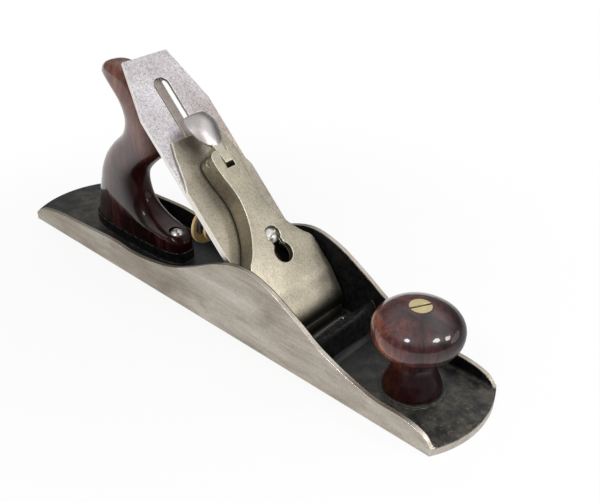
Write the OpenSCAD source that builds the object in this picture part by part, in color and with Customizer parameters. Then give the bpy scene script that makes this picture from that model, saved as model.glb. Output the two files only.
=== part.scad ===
// A jack plane of iron, rosewood and brass, about 356 mm long.
// X runs to the toe, Y to the left side seen from behind, Z up.
// The origin is the middle of the sole's flat underside.

/* [Body] */
// Length of the sole
sole_l = 355.6; // [350:0.2:370]
// Width of the sole
sole_w = 62; // [60.5:0.5:66]
// Thickness of the bed plate
bed_t = 5.2; // [4.6:0.1:6]
// Thickness of the side walls
wall_t = 3; // [2.4:0.1:3.4]
// Height of the side walls beside the blade
wall_h = 51.1; // [48:0.1:54]
// Height of the arc of the toe and of the heel, seen from above
end_bow = 8.6; // [5:0.2:12]
// Radius of the fillet along the foot of each wall
wall_fillet = 2; // [1:0.2:3]
// Height of the cross rib in front of the mouth, at its middle
rib_h = 20.3; // [16:0.1:24]
// Distance from the mouth's rear edge to the back of the cross rib
rib_ahead = 16.2; // [13:0.2:18]

/* [Mouth and bed] */
// Place of the mouth's rear edge in front of the middle of the sole
mouth_x = 66.1; // [60:0.1:70]
// Opening of the mouth along the sole
mouth_gap = 4.5; // [4.5:0.1:6]
// Height of the seat that carries the frog
seat_h = 11; // [10:0.1:12]
// Pitch of the bed that carries the blade
pitch = 45; // [45:1:46]

/* [Front knob] */
// Distance from the tip of the toe back to the knob's axis
knob_in = 41.5; // [39:0.1:47]
// Radius of the knob's ball
knob_r = 24.3; // [22:0.1:26]
// Radius of the knob's foot
knob_foot_r = 16; // [14:0.1:17]
// Radius of the knob's neck
knob_neck_r = 11.1; // [9:0.1:12.5]
// Height of the knob
knob_h = 52; // [48:0.2:56]

/* [Handle] */
// Distance from the mouth's rear edge back to the handle's rear corner
tote_back = 200.1; // [196.9:0.2:203.9]
// Thickness of the handle
tote_w = 23; // [20:0.5:26]
// Height of the boss that carries the handle
tote_boss_h = 7.6; // [5:0.2:9]

/* [Blade and cap iron] */
// Width of the blade
cutter_w = 50.8; // [48:0.2:51.6]
// Thickness of the blade
cutter_t = 2; // [1.8:0.1:2.4]
// Length of the blade up the bed, from the mouth's rear edge
cutter_top = 191.5; // [186:0.5:200]
// Width of the blade's top end
cutter_end_w = 32.1; // [26:0.2:36]
// Height up the bed at which the blade starts to narrow
cutter_shoulder = 155.4; // [150:0.2:160]
// Width of the blade's slot
slot_w = 11; // [10.4:0.1:12]
// Height up the bed of the slot's top
slot_top = 176.5; // [172:0.5:182]
// Thickness of the cap iron
cap_iron_t = 2.2; // [2:0.1:2.4]
// Height up the bed of the cap iron's top end
cap_iron_top = 137; // [132:0.5:142]
// Height of the cap iron's hump over the bed
hump_h = 8.3; // [7.6:0.1:8.6]

/* [Lever cap] */
// Height of the lever cap's edges over the bed
lever_cap_h = 18; // [17:0.1:18.4]
// Height up the bed of the lever cap's top end
lever_cap_top = 119.5; // [118.5:0.1:120.5]
// Radius of the lever cap's crown across its width
crown_r = 350; // [300:10:500]
// Thickness of the lever cap's walls
lever_wall = 2.6; // [2.2:0.1:3]
// Height up the bed of the lever cap's screw
screw_s = 62.9; // [61.5:0.1:64]
// Diameter of the lever cap's screw head
screw_head_d = 9.8; // [9:0.1:10.2]
// Way that the lever cap slides from its screw to the keyhole
keyhole_travel = 12; // [11:0.2:13]
// Radius of the cam
cam_r = 6.8; // [6.2:0.1:6.8]
// Way that the cam's centre lies off its pin
cam_throw = 1; // [0.6:0.1:1]
// Half width of the cam lever's thumb
thumb_w = 9.8; // [8.6:0.2:11]

/* [Adjusters] */
// Radius of the depth wheel
wheel_r = 12.8; // [11.5:0.1:13.5]
// Height of the depth wheel's axis over the sole
wheel_z = 42; // [41:0.2:43]
// Width of the strip of the lateral lever
lateral_w = 5.6; // [5:0.1:6.4]
// Diameter of the disc that steers the blade
disc_d = 8.5; // [7.8:0.1:8.8]

/* [Fits] */
// Radial clearance of a pin or screw in its hole
pin_fit = 0.06; // [0.05:0.01:0.1]
// Gap between parts that move past each other
gap = 0.3; // [0.2:0.05:0.35]
// Way that the frog can move forward on its seat
frog_travel = 1.2; // [0.6:0.1:1.5]
// Way that the blade can be fed out
feed_out = 1; // [0.6:0.1:1.2]
// Way that the blade can be drawn back
feed_back = 1.5; // [1:0.1:1.8]

/* [Hidden] */
$fn = 64;
far = 400;
eps = 0.01;

// Smooth line through points: a Catmull-Rom curve with n steps from point to point
function cr(a, b, c, d, t) = 0.5 * (2 * b + (c - a) * t + (2 * a - 5 * b + 4 * c - d) * t * t
    + (3 * b - a - 3 * c + d) * t * t * t);
function at(p, i) = p[max(0, min(len(p) - 1, i))];
function curve(p, n) = concat(
    [for (i = [0:len(p) - 2], j = [0:n - 1]) cr(at(p, i - 1), p[i], p[i + 1], at(p, i + 2), j / n)],
    [p[len(p) - 1]]);
// Straight interpolation in a table of [place, value]
function along(t, x) = lookup(x, t);
function sgn_pow(v, e) = sign(v) * pow(abs(v), e);
// Triangles of a skin over rows of n points each, the last row having the number last
function skin_faces(last, n) = [for (i = [0:last - 1], j = [0:n - 1], half = [0, 1])
    half == 0 ? [i * n + j, (i + 1) * n + j, (i + 1) * n + (j + 1) % n]
        : [i * n + j, (i + 1) * n + (j + 1) % n, i * n + (j + 1) % n]];

// Frame of the bed: X up the bed, Z square to it, from the mouth's rear edge
module on_bed() {
    translate([mouth_x, 0, 0]) rotate([0, -pitch, 180]) children();
}
// World X and Z of a place on the bed
function bed_x(s, n) = mouth_x - s * cos(pitch) + n * sin(pitch);
function bed_z(s, n) = s * sin(pitch) + n * cos(pitch);
// A profile in X and Z, given the width w across the plane
module across(w) {
    translate([0, w / 2, 0]) rotate([90, 0, 0]) linear_extrude(w) children();
}
// A bar from one point to another
module rod_between(a, b, r) {
    d = b - a;
    translate(a) rotate([0, acos(d[2] / norm(d)), atan2(d[1], d[0])]) cylinder(h = norm(d), r = r);
}
// Slotted screw head, its underside at z = 0
module slotted_head(r, h, slot, depth) {
    difference() {
        cylinder(r = r, h = h);
        translate([-slot / 2, -r - 1, h - depth]) cube([slot, 2 * r + 2, depth + 1]);
    }
}
// The same with a domed top
module round_head(r, h, slot, depth) {
    dome = (r * r + h * h) / (2 * h);
    difference() {
        intersection() {
            cylinder(r = r, h = h);
            translate([0, 0, h - dome]) sphere(r = dome);
        }
        translate([-slot / 2, -r - 1, h - depth]) cube([slot, 2 * r + 2, depth + 1]);
    }
}

// Body
inner_w = sole_w - 2 * wall_t;
end_r = (sole_w * sole_w / 4 + end_bow * end_bow) / (2 * end_bow);
corner_x = sole_l / 2 - end_bow;
knob_x = sole_l / 2 - knob_in;
tote_x = mouth_x - tote_back;
mouth_w = cutter_w + 2.8;
// Wall outline: from the heel, over the hump beside the blade, to the toe
wall_line = [[-corner_x, bed_t], [-corner_x + 9, 11], [-corner_x + 29, 15.1], [-corner_x + 59, 17.2],
    [-corner_x + 89, 19], [mouth_x - 126, 18], [mouth_x - 106, 20.2], [mouth_x - 86, wall_h - 26],
    [mouth_x - 66, wall_h - 16.8], [mouth_x - 46, wall_h - 5.8], [mouth_x - 26, wall_h],
    [mouth_x - 6, wall_h - 4], [mouth_x + 14, wall_h - 14.5], [mouth_x + 34, 24.8], [corner_x - 39, 14.9],
    [corner_x - 19, 14], [corner_x - 6, 10.9], [corner_x, bed_t]];
rod_r = 2.9;
ring_h = 1.2;
ring_r = knob_foot_r + 1.5;
knob_z = bed_t + ring_h;
nut_r = 5.9;
nut_h = 3;
barrel_r = 4.2;
knob_nut_z = knob_z + knob_h - 0.4 - nut_h;
tote_z = bed_t + tote_boss_h;
tote_rod_r = 2.5;
// Foot and top of the handle's rod, and the place of the toe screw
rod_foot_in = 42;
rod_head_in = 55.5;
rod_head_h = 105;
toe_screw_in = 82.2;
tote_rod_foot = [tote_x + rod_foot_in, 0, 2];
tote_rod_head = [tote_x + rod_head_in, 0, tote_z + rod_head_h];
toe_screw_x = tote_x + toe_screw_in;
toe_screw_z = tote_z + 9.7;
toe_screw_r = 2.2;
toe_head_r = 4.5;
rib_foot = 10;
// Frog seat and its screws
seat_back = mouth_x - 46;
seat_w = 42;
frog_screw_x = mouth_x - 25;
frog_screw_y = 13;
frog_screw_r = 2.6;
frog_head_r = 5;
washer_r = 6;
washer_t = 1;
frog_foot_t = 4.6;

// Sole seen from above
module plan() {
    square([2 * corner_x, sole_w], center = true);
    for (end = [-1, 1]) intersection() {
        translate([end * (sole_l / 2 - end_r), 0]) circle(end_r, $fn = 180);
        translate([end * sole_l / 2, 0]) square([sole_l / 2, sole_w], center = true);
    }
}
// Inside of the body across its width, with the foot of each wall rounded
module channel_section() {
    half = inner_w / 2;
    difference() {
        translate([-half, bed_t]) square([inner_w, far]);
        for (side = [-1, 1]) translate([side * half, bed_t]) difference() {
            square(2 * wall_fillet, center = true);
            translate([-side * wall_fillet, wall_fillet]) circle(wall_fillet);
        }
    }
}
// Outline of the boss under the handle, grown by a margin
boss_half = 44.7;
boss_in = 2.8;
module tote_foot(margin) {
    half_l = boss_half + margin;
    polygon([for (a = [0:6:354]) let (p = cos(a) > 0 ? foot_p : tote_p) [
        tote_x + boss_in + boss_half + half_l * sgn_pow(cos(a), 2 / p),
        (tote_w / 2 + margin) * (1 - 0.1 * cos(a)) * sgn_pow(sin(a), 2 / p)]]);
}
module cross_rib() {
    x = mouth_x + rib_ahead;
    sag_r = 230;
    difference() {
        across(inner_w + 2 * eps) polygon(concat([[x - 1, bed_t - 1]],
            curve([[x, bed_t], [x + 0.4, rib_h - 4], [x + 2.2, rib_h], [x + 5, rib_h + 1],
                [x + 7.6, rib_h - 2.6], [x + rib_foot, bed_t + 3], [x + rib_foot + 4, bed_t]], 4),
            [[x + rib_foot + 4, bed_t - 1]]));
        translate([x - 2, 0, rib_h + sag_r]) rotate([0, 90, 0]) cylinder(r = sag_r, h = 20, $fn = 200);
    }
}
module sole_casting() color("dimgray") difference() {
    union() {
        difference() {
            intersection() {
                linear_extrude(far) plan();
                across(sole_w + 2) polygon(concat([[-sole_l, 0], [-sole_l, bed_t]], curve(wall_line, 5),
                    [[sole_l, bed_t], [sole_l, 0]]));
            }
            translate([-sole_l, 0, 0]) rotate([90, 0, 90]) linear_extrude(2 * sole_l) channel_section();
        }
        cross_rib();
        // Ramp behind the mouth and seat of the frog
        across(mouth_w) polygon([[mouth_x - 20, bed_t - 1], [mouth_x, bed_t - 1],
            [mouth_x, seat_h], [mouth_x - 18, seat_h]]);
        translate([seat_back, -seat_w / 2, bed_t - 1])
            cube([mouth_x - 15 - seat_back, seat_w, seat_h - bed_t + 1]);
        translate([knob_x, 0, bed_t - 1]) cylinder(r = ring_r, h = ring_h + 1);
        translate([0, 0, bed_t - 1]) linear_extrude(tote_boss_h + 1) tote_foot(0.8);
    }
    // Mouth: its back follows the bed, its front leans away from the blade
    across(mouth_w) polygon([[mouth_x + 1, -1], [mouth_x - seat_h - 1, seat_h + 1],
        [mouth_x + mouth_gap + 2, seat_h + 1], [mouth_x + mouth_gap + 1.4, bed_t],
        [mouth_x + mouth_gap, 1], [mouth_x + mouth_gap, -1]]);
    translate([knob_x, 0, 1]) cylinder(r = rod_r + pin_fit, h = far);
    rod_between(tote_rod_foot, tote_rod_head, tote_rod_r + pin_fit);
    translate([toe_screw_x, 0, 2]) cylinder(r = toe_screw_r + pin_fit, h = far);
    for (side = [-1, 1]) translate([frog_screw_x, side * frog_screw_y, 1.5])
        cylinder(r = frog_screw_r + pin_fit, h = seat_h);
}

// Turned front knob: flared foot, neck, and a ball that is fuller below its widest place
ball_low = 15.2;
ball_high = 14.4;
ball_z = knob_h - ball_high + 0.1;
ball_p = 2.3;
function ball_at(a) = a < 0
    ? [knob_r * sgn_pow(cos(a), 2 / ball_p), ball_z + ball_low * sgn_pow(sin(a), 2 / ball_p)]
    : [knob_r * cos(a), ball_z + ball_high * sin(a)];
module front_knob() color("saddlebrown") translate([knob_x, 0, knob_z]) difference() {
    rotate_extrude($fn = 96) polygon(concat([[0, 0], [knob_foot_r - 0.5, 0], [knob_foot_r, 0.5]],
        curve([[knob_foot_r + 0.1, 1.4], [knob_foot_r - 0.2, 2.4], [knob_foot_r - 1.4, ball_z * 0.15],
            [knob_neck_r + 1.6, ball_z * 0.28], [knob_neck_r + 0.3, ball_z * 0.42],
            [knob_neck_r, ball_z * 0.52], [knob_neck_r + 0.6, ball_z * 0.595], ball_at(-60), ball_at(-50)], 4),
        [for (a = [-42.5:7.5:70]) ball_at(a)],
        [[nut_r + 0.9, knob_h - 0.4], [nut_r + 0.3, knob_h - 0.4], [0, knob_h - 0.4]]));
    translate([0, 0, -1]) cylinder(r = rod_r + pin_fit, h = far);
    translate([0, 0, knob_nut_z - knob_z - 14]) cylinder(r = barrel_r + pin_fit, h = far);
    translate([0, 0, knob_nut_z - knob_z]) cylinder(r = nut_r + pin_fit, h = far);
}
// Brass nut with a barrel that takes the end of the rod
module barrel_nut(bore) {
    difference() {
        union() {
            slotted_head(nut_r, nut_h, 1.3, 1.3);
            translate([0, 0, -13]) cylinder(r = barrel_r, h = 13 + eps);
        }
        translate([0, 0, -14]) cylinder(r = bore + pin_fit, h = 14.6);
    }
}
module knob_nut() color("gold") translate([knob_x, 0, knob_nut_z]) rotate([0, 0, -29])
    barrel_nut(rod_r);
module knob_rod() color("slategray") translate([knob_x, 0, 1.2])
    cylinder(r = rod_r, h = knob_nut_z - 1.2 - 0.6);

// Handle: stations join a point on its back to a point on its front
tote_p = 2.6;
tote_stations = [[3.8, 0, 91.9, 0], [5, 7, 92.1, 4.4], [6.3, 12, 87.8, 9.5], [7.8, 16, 76, 12],
    [9.8, 22, 64, 17], [12.2, 28, 57, 24], [14.5, 34, 54, 31], [16.8, 40, 53, 37],
    [23.7, 51.6, 54.5, 43], [33.5, 62, 61.2, 50.6],
    [43.2, 70.5, 70.6, 58.6], [47, 79, 79, 66], [46.8, 87, 83, 75], [42.3, 95.5, 82, 82], [36, 101.6, 79, 88],
    [27, 108.5, 73, 99], [31, 113.5, 66, 108], [40, 116.4, 61, 112.5], [47, 117.2, 56, 115.4]];
// Share of the full thickness at each station
tote_share = [[0, 1], [3, 1], [6, 0.97], [12, 0.97], [14, 0.94], [15, 0.86],
    [16, 0.72], [17, 0.5], [18, 0.22]];
// Bluntness of the front of the outline at each station, the toe being the bluntest
foot_p = 3.5;
tote_blunt = [[0, foot_p], [1, foot_p], [2, 3.2], [3, 2.9], [5, tote_p], [18, tote_p]];
tote_sides = 36;
tote_steps = 2;
module tote() color("sienna") {
    lines = curve(tote_stations, tote_steps);
    last = len(lines) - 1;
    points = [for (i = [0:last], j = [0:tote_sides - 1])
        let (q = lines[i], a = 360 * j / tote_sides,
            w = along(tote_share, i / tote_steps) * tote_w / 2,
            foot = max(0, 1 - i / (4 * tote_steps)),
            p = cos(a) > 0 ? along(tote_blunt, i / tote_steps) : tote_p,
            c = sgn_pow(cos(a), 2 / p), h = sgn_pow(sin(a), 2 / p))
        [tote_x + (q[0] + q[2]) / 2 + c * (q[2] - q[0]) / 2, w * h * (1 - 0.1 * foot * cos(a)),
            tote_z + (q[1] + q[3]) / 2 + c * (q[3] - q[1]) / 2]];
    n = tote_sides;
    faces = concat([[for (j = [0:n - 1]) j]], [[for (j = [n - 1:-1:0]) last * n + j]],
        skin_faces(last, n));
    difference() {
        polyhedron(points, faces, convexity = 6);
        rod_between(tote_rod_foot, tote_rod_head, tote_rod_r + pin_fit);
        at_tote_nut() translate([0, 0, -14]) cylinder(r = barrel_r + pin_fit, h = far);
        at_tote_nut() cylinder(r = nut_r + pin_fit, h = far);
        translate([toe_screw_x, 0, 0]) cylinder(r = toe_screw_r + pin_fit, h = far);
        translate([toe_screw_x, 0, toe_screw_z]) cylinder(r = toe_head_r + 0.3, h = 12);
    }
}
module at_tote_nut() {
    d = tote_rod_head - tote_rod_foot;
    translate(tote_rod_head) rotate([0, acos(d[2] / norm(d)), 0]) children();
}
module tote_nut() color("gold") at_tote_nut() rotate([0, 0, 30]) barrel_nut(tote_rod_r);
module tote_rod() color("slategray") {
    d = tote_rod_head - tote_rod_foot;
    u = d / norm(d);
    rod_between(tote_rod_foot + 0.5 * u, tote_rod_head - 0.6 * u, tote_rod_r);
}
module tote_toe_screw() color("silver") translate([toe_screw_x, 0, 0]) {
    translate([0, 0, 2.3]) cylinder(r = toe_screw_r, h = toe_screw_z - 2.3 + eps);
    translate([0, 0, toe_screw_z]) rotate([0, 0, 54]) round_head(toe_head_r, 2.6, 1.2, 1.2);
}

// Frog
frog_w = 44;
frog_top = 117.5;
frog_plate = 5;
web_in = 11;
web_t = 3.4;
pivot_s = 85.6;
pivot_n = -5;
pivot_r = 2;
hub_r = 4.1;
stud_r = 3;
stud_reach = 9;
screw_shank_r = 3.2;
screw_depth = 4.8;
// The stud ends short of the lever cap's screw
stud_end = bed_x(screw_s, -screw_depth) - screw_shank_r * cos(pitch) - 0.8;
wheel_back = 83.6;
wheel_x = mouth_x - wheel_back;
cap_iron_screw_s = 95.5;
cap_head_r = 5.8;
cap_head_t = 2.2;
lateral_s = 113.5;
lateral_eye_r = 4.4;
tab_w = 16;
tab_h = 4.6;
lateral_rivet_r = 1.8;
disc_s = 109;
tongue_w = 5;
lateral_t = 1.5;
module frog() color("dimgray") difference() {
    union() {
        // Bed plate
        intersection() {
            on_bed() translate([0, -frog_w / 2, -frog_plate]) cube([frog_top, frog_w, frog_plate]);
            translate([-far, -far, seat_h]) cube(2 * far);
        }
        // Webs from the foot to the bed plate
        for (side = [-1, 1]) translate([0, side * (web_in + web_t / 2), 0]) across(web_t)
            polygon(concat([[frog_front_x, seat_h], [seat_back + 2, seat_h]],
                curve([[seat_back + 2, seat_h + 6], [mouth_x - 52, 38], [mouth_x - 68, 52],
                    [bed_x(pivot_s + 6, -14), bed_z(pivot_s + 6, -14)],
                    [bed_x(frog_top - 8, -frog_plate - 2), bed_z(frog_top - 8, -frog_plate - 2)],
                    [bed_x(frog_top - 3, -frog_plate + 1), bed_z(frog_top - 3, -frog_plate + 1)]], 3),
                [[bed_x(40, -1), bed_z(40, -1)]]));
        // Foot
        intersection() {
            translate([seat_back + 2, -frog_foot_w / 2, seat_h])
                cube([frog_front_x - seat_back, frog_foot_w, frog_foot_t + 6]);
            on_bed() translate([0, -far / 2, -far]) cube([far, far, far]);
        }
        // Boss of the stud, and boss of the lever cap's screw
        translate([stud_end - 6, 0, wheel_z]) rotate([0, 90, 0]) cylinder(r = stud_r + 3, h = 10);
        on_bed() translate([screw_s, 0, -8]) cylinder(r = 6, h = 7);
    }
    // Bores
    translate([stud_end - 19.8, 0, wheel_z]) rotate([0, 90, 0]) cylinder(r = stud_r + pin_fit, h = 20);
    on_bed() translate([screw_s, 0, -screw_depth - 0.2]) cylinder(r = screw_shank_r + pin_fit, h = far);
    on_bed() translate([pivot_s, 0, pivot_n]) rotate([90, 0, 0])
        cylinder(r = pivot_r + pin_fit, h = 60, center = true);
    on_bed() translate([lateral_s, 0, -far / 2]) cylinder(r = lateral_rivet_r + pin_fit, h = far);
    // Window for the hub and tongue of the yoke
    on_bed() translate([pivot_s - hub_r - 1.6, -web_in, -far / 2])
        cube([2 * hub_r + 2.4, 2 * web_in, far]);
    // Pocket for the head of the cap iron's screw, and channel of the lateral lever
    on_bed() bed_pocket(cap_iron_screw_s - feed_out - 0.4, cap_iron_screw_s + feed_back + 0.4,
        cap_head_r + 0.5, 3.4);
    on_bed() translate([disc_s - 4.8, -5.6, -2.2]) cube([far, 11.2, 3]);
    // Recesses and slots of the two screws, long enough for the frog to move
    for (side = [-1, 1]) {
        slot_down(frog_screw_x - frog_travel - 0.3, frog_screw_x + 0.3, side * frog_screw_y,
            washer_r + 0.5, seat_h + frog_foot_t);
        slot_down(frog_screw_x - frog_travel - 0.3, frog_screw_x + 0.3, side * frog_screw_y,
            frog_screw_r + 0.3, seat_h - 1);
    }
}
frog_front_x = mouth_x - seat_h;
frog_foot_w = seat_w - 1;
// Pocket with round ends along the bed, cut from the bed's face down
module bed_pocket(s0, s1, r, depth) {
    for (s = [s0, s1]) translate([s, 0, -depth]) cylinder(r = r, h = depth + 1);
    translate([s0, -r, -depth]) cube([s1 - s0, 2 * r, depth + 1]);
}
// Upright slot with round ends, from z upwards
module slot_down(x0, x1, y, r, z) {
    for (x = [x0, x1]) translate([x, y, z]) cylinder(r = r, h = far);
    translate([x0, y - r, z]) cube([x1 - x0, 2 * r, far]);
}
module frog_washers() color("silver") for (side = [-1, 1])
    translate([frog_screw_x, side * frog_screw_y, seat_h + frog_foot_t]) difference() {
        cylinder(r = washer_r, h = washer_t);
        translate([0, 0, -1]) cylinder(r = frog_screw_r + 0.2, h = washer_t + 2);
    }
module frog_screws() color("silver") for (side = [-1, 1])
    translate([frog_screw_x, side * frog_screw_y, 0]) {
    translate([0, 0, 2]) cylinder(r = frog_screw_r, h = seat_h + frog_foot_t + washer_t - 2 + eps);
    translate([0, 0, seat_h + frog_foot_t + washer_t]) round_head(frog_head_r, 3, 1.2, 1.3);
}
module adjusting_stud() color("silver")
    translate([wheel_x - stud_reach, 0, wheel_z]) rotate([0, 90, 0])
        cylinder(r = stud_r, h = stud_end - wheel_x + stud_reach);
module yoke_pin() color("silver") on_bed() translate([pivot_s, 0, pivot_n]) rotate([90, 0, 0])
    cylinder(r = pivot_r, h = 2 * (web_in + web_t) - 0.4, center = true);
module lever_cap_screw() color("silver") on_bed() translate([screw_s, 0, 0]) {
    translate([0, 0, -screw_depth]) cylinder(r = screw_shank_r, h = screw_depth + screw_head_n + eps);
    translate([0, 0, screw_head_n]) rotate([0, 0, 19]) round_head(screw_head_d / 2, screw_head_t, 1.4, 1.2);
}
module lateral_pivot_rivet() color("silver") on_bed() translate([lateral_s, 0, -4.8])
    cylinder(r = lateral_rivet_r, h = 4.8 - 0.1);

// Blade and cap iron
module cutter() color("lightgray") on_bed() difference() {
    linear_extrude(cutter_t) difference() {
        polygon([[edge_s, -cutter_w / 2], [cutter_shoulder, -cutter_w / 2], [cutter_top, -cutter_end_w / 2],
            [cutter_top, cutter_end_w / 2], [cutter_shoulder, cutter_w / 2], [edge_s, cutter_w / 2]]);
        translate([slot_foot, -slot_w / 2]) square([slot_top - slot_w / 2 - slot_foot, slot_w]);
        translate([slot_top - slot_w / 2, 0]) circle(d = slot_w);
        translate([slot_foot, 0]) circle(r = slot_w / 2 + 1.4);
    }
    // Grinding bevel under the edge
    across(far) polygon([[edge_s, cutter_t - 0.02], [edge_s - 1, cutter_t - 0.02], [edge_s - 1, -1],
        [edge_s + cutter_t / tan(bevel) + 1 / tan(bevel), -1]]);
}
edge_s = -1.6;
bevel = 28;
slot_foot = 53;
blade_seat = cutter_t + 0.02;
iron_top = blade_seat + cap_iron_t;
// Half outline of the cap iron, narrowing at its top
iron_half = [[-2, cutter_w / 2], [107, cutter_w / 2], [113, 23.2], [120.4, 21.5], [129, 19.5],
    [cap_iron_top, 16.8]];
module cap_iron() color("rosybrown") on_bed() difference() {
    intersection() {
        linear_extrude(20) polygon(concat(iron_half,
            [for (i = [len(iron_half) - 1:-1:0]) [iron_half[i][0], -iron_half[i][1]]]));
        across(far) polygon(concat([[cap_iron_top, blade_seat], [cap_iron_top, iron_top], [40, iron_top]],
            curve([[30, iron_top], [22, iron_top + 0.9], [15, hump_h - 0.9], [9.5, hump_h],
                [4.5, hump_h - 1.4], [1, 4.6], [edge_s + 1, blade_seat + 0.15]], 4),
            [[edge_s + 1, blade_seat], [1.6, blade_seat]],
            curve([[3.6, 3.6], [6.4, hump_h - 3.2], [10, hump_h - 2.4], [14, hump_h - 3.2],
                [20, blade_seat + 0.7], [27, blade_seat]], 4)));
    }
    translate([screw_s, 0, 0]) cylinder(r = 5.5, h = far);
    translate([cap_iron_screw_s, 0, 0]) cylinder(r = cap_screw_r + pin_fit, h = far);
    translate([pivot_s - tongue_w / 2 - gap, -tongue_w / 2 - 0.5, 0])
        cube([tongue_w + 2 * gap, tongue_w + 1, far]);
}
cap_screw_r = 3.6;
// Its head fills the recess of the frog under the blade
module cap_iron_screw() color("silver") on_bed() translate([cap_iron_screw_s, 0, 0]) {
    translate([0, 0, -0.1]) rotate([180, 0, 0]) slotted_head(cap_head_r, cap_head_t, 1.4, 1.1);
    translate([0, 0, -0.2]) cylinder(r = cap_screw_r, h = iron_top + 0.2);
}

// Forked lever between the wheel and the cap iron
prong_in = 7.4;
prong_t = 2.8;
module yoke() color("dimgray") difference() {
    union() {
        on_bed() translate([pivot_s, 0, pivot_n]) rotate([90, 0, 0])
            cylinder(r = hub_r - gap, h = 2 * web_in - 2 * gap, center = true);
        // Tongue through the blade's slot into the cap iron
        on_bed() translate([pivot_s - tongue_w / 2 + 0.6, -tongue_w / 2, pivot_n])
            cube([tongue_w - 1.2, tongue_w, iron_top - pivot_n - 1.4]);
        on_bed() translate([pivot_s, 0, blade_seat + cap_iron_t / 2]) rotate([90, 0, 0])
            cylinder(r = tongue_w / 2, h = tongue_w, center = true);
        // Arms and prongs
        for (side = [-1, 1]) translate([0, side * (prong_in + prong_t / 2), 0]) across(prong_t) {
            translate([wheel_x, wheel_z]) circle(1.8);
            // The arm leans forward of the wheel's rim, so that it stays clear when it tilts
            polygon([[pivot_x - 2, pivot_z + 3.4], [wheel_x + 1.3, wheel_z + 11.5],
                [wheel_x - 0.3, wheel_z + 8], [wheel_x - 1.1, wheel_z + 4], [wheel_x - 1.7, wheel_z],
                [wheel_x + 1.7, wheel_z],
                [wheel_x + 1.7, wheel_z + 4.4], [wheel_x + 3.1, wheel_z + 8], [pivot_x + 1, pivot_z - 3.6]]);
        }
    }
    on_bed() translate([pivot_s, 0, pivot_n]) rotate([90, 0, 0])
        cylinder(r = pivot_r + pin_fit, h = 60, center = true);
}
pivot_x = bed_x(pivot_s, pivot_n);
pivot_z = bed_z(pivot_s, pivot_n);

// Depth wheel: rim, groove for the prongs and front collar, turned about X
wheel_groove = 4.4;
rim_t = 2.8;
collar_t = 2.2;
collar_r = 8.6;
wheel_hub_r = 6.9;
wheel_rear = -wheel_groove / 2 - rim_t;
module depth_wheel() color("goldenrod") translate([wheel_x, 0, wheel_z]) rotate([0, 90, 0])
    rotate_extrude($fn = 96) polygon([[stud_r + pin_fit, wheel_rear], [wheel_r - 3.6, wheel_rear],
        [wheel_r - 3, wheel_rear + 0.7], [wheel_r - 0.7, wheel_rear + 0.7], [wheel_r, wheel_rear + 1.3],
        [wheel_r, -wheel_groove / 2 - 0.6], [wheel_r - 0.6, -wheel_groove / 2],
        [wheel_hub_r, -wheel_groove / 2], [wheel_hub_r, wheel_groove / 2], [collar_r, wheel_groove / 2],
        [collar_r, wheel_groove / 2 + collar_t], [stud_r + pin_fit, wheel_groove / 2 + collar_t]]);

// Lateral lever: strip under the blade, round pad for the disc, thumb tab bent back
lateral_top = 178;
lateral_n = -0.4 - lateral_t;
module lateral_lever() color("gray") on_bed() difference() {
    union() {
        translate([lateral_s, -lateral_w / 2, lateral_n])
            cube([lateral_top - lateral_s, lateral_w, lateral_t]);
        translate([disc_s, 0, lateral_n]) cylinder(r = lateral_eye_r, h = lateral_t);
        translate([disc_s, -lateral_eye_r, lateral_n])
            cube([lateral_s - disc_s, 2 * lateral_eye_r, lateral_t]);
        translate([lateral_s, 0, lateral_n]) cylinder(r = lateral_eye_r, h = lateral_t);
        translate([lateral_top - lateral_t, -tab_w / 2, lateral_n - tab_h])
            cube([lateral_t, tab_w, tab_h + lateral_t]);
    }
    translate([lateral_s, 0, -10]) cylinder(r = lateral_rivet_r + pin_fit, h = 20);
    translate([disc_s, 0, -10]) cylinder(r = disc_rivet_r + pin_fit, h = 20);
}
disc_rivet_r = 1.5;
module lateral_disc() color("silver") on_bed() translate([disc_s, 0, 0]) {
    cylinder(d = disc_d, h = cutter_t - 0.25);
    translate([0, 0, lateral_n]) cylinder(r = disc_rivet_r, h = -lateral_n + eps);
    translate([0, 0, -0.38]) cylinder(r = 2.4, h = 0.4);
}

// Lever cap
screw_head_n = lever_cap_h - 1.1;
screw_head_t = 1.9;
lip_s = 7.5;
// Half width up the bed: straight flanks in front, then the waist and the end under the cam
cap_half = [[53, 24.2], [56, 21], [60, 17.8], [66, 14], [72, 11.1], [78, 9], [84, 7.7], [90, 7.1],
    [97, 7.7], [104, 8.8], [110, 9.5], [lever_cap_top - 5, 9.5], [lever_cap_top - 2, 8.7],
    [lever_cap_top - 0.5, 7.1], [lever_cap_top, 4.8]];
lip_n = hump_h + 0.1;
head_way = screw_head_d / 2 + 0.25;
cap_foot = iron_top + 1.1;
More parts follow.
